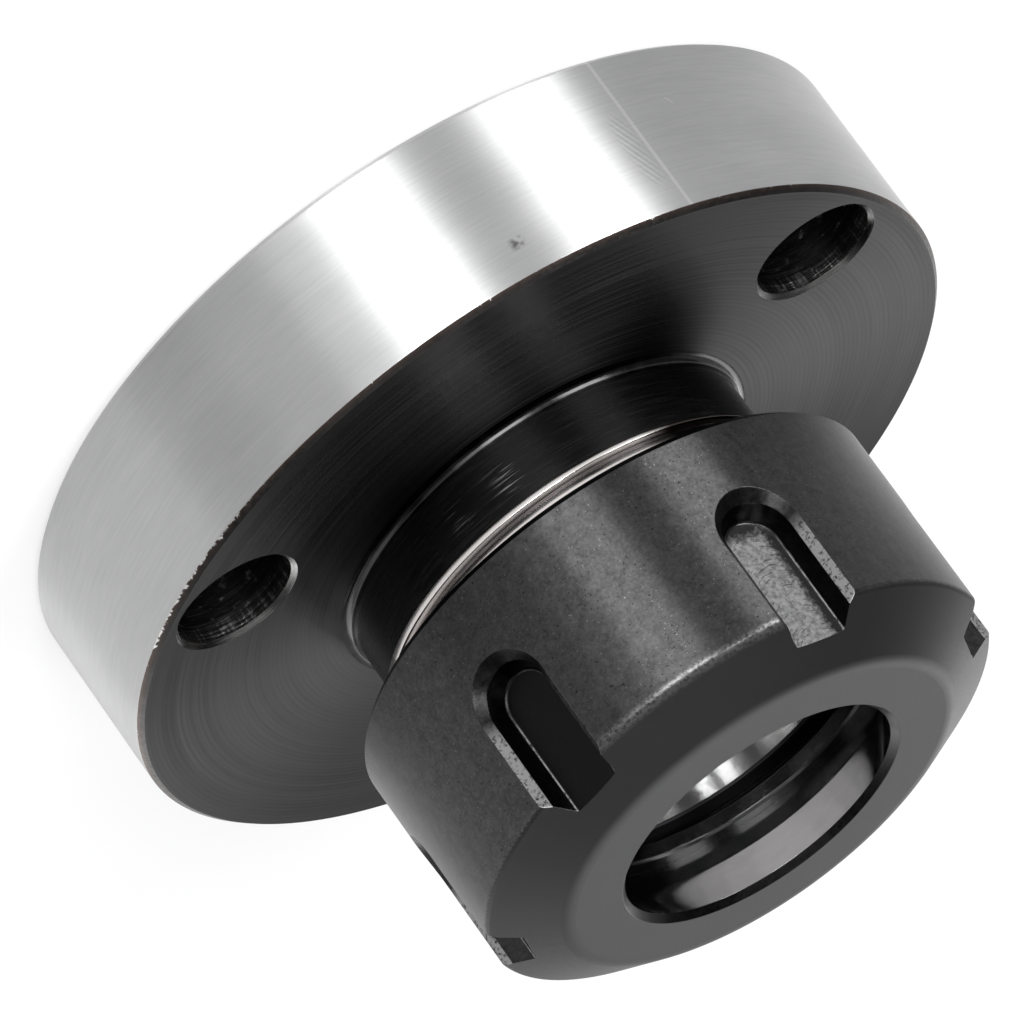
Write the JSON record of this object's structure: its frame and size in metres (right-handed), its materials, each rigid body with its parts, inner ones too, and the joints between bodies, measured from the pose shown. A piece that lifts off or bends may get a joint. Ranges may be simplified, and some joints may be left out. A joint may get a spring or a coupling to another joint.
{
  "type": "collet chuck",
  "caption": "Flange-mounted collet chuck with a tapered socket in a threaded nose and a slotted clamping nut.",
  "frame": {"origin": "centre of the flange's back face", "axes": "+Z along the spindle axis, from the flange towards the nut; a mounting hole lies on +Y"},
  "size_m": [0.08, 0.08, 0.051],
  "materials": {
    "body_steel": "blackened faces, bright ground rim, thread and socket",
    "nut_steel": "satin black oxide with a bright collet cone"
  },
  "bodies": {
    "chuck_body": {"chuck_body": "body_steel"},
    "clamping_nut": {"clamping_nut": "nut_steel"}
  },
  "joints": [
    {"name": "nut_turn", "type": "hinge", "parent": "chuck_body", "child": "clamping_nut", "pos_m": [0, 0, 0.034], "axis": [0, 0, 1], "range_deg": [-336, 2520]}
  ]
}
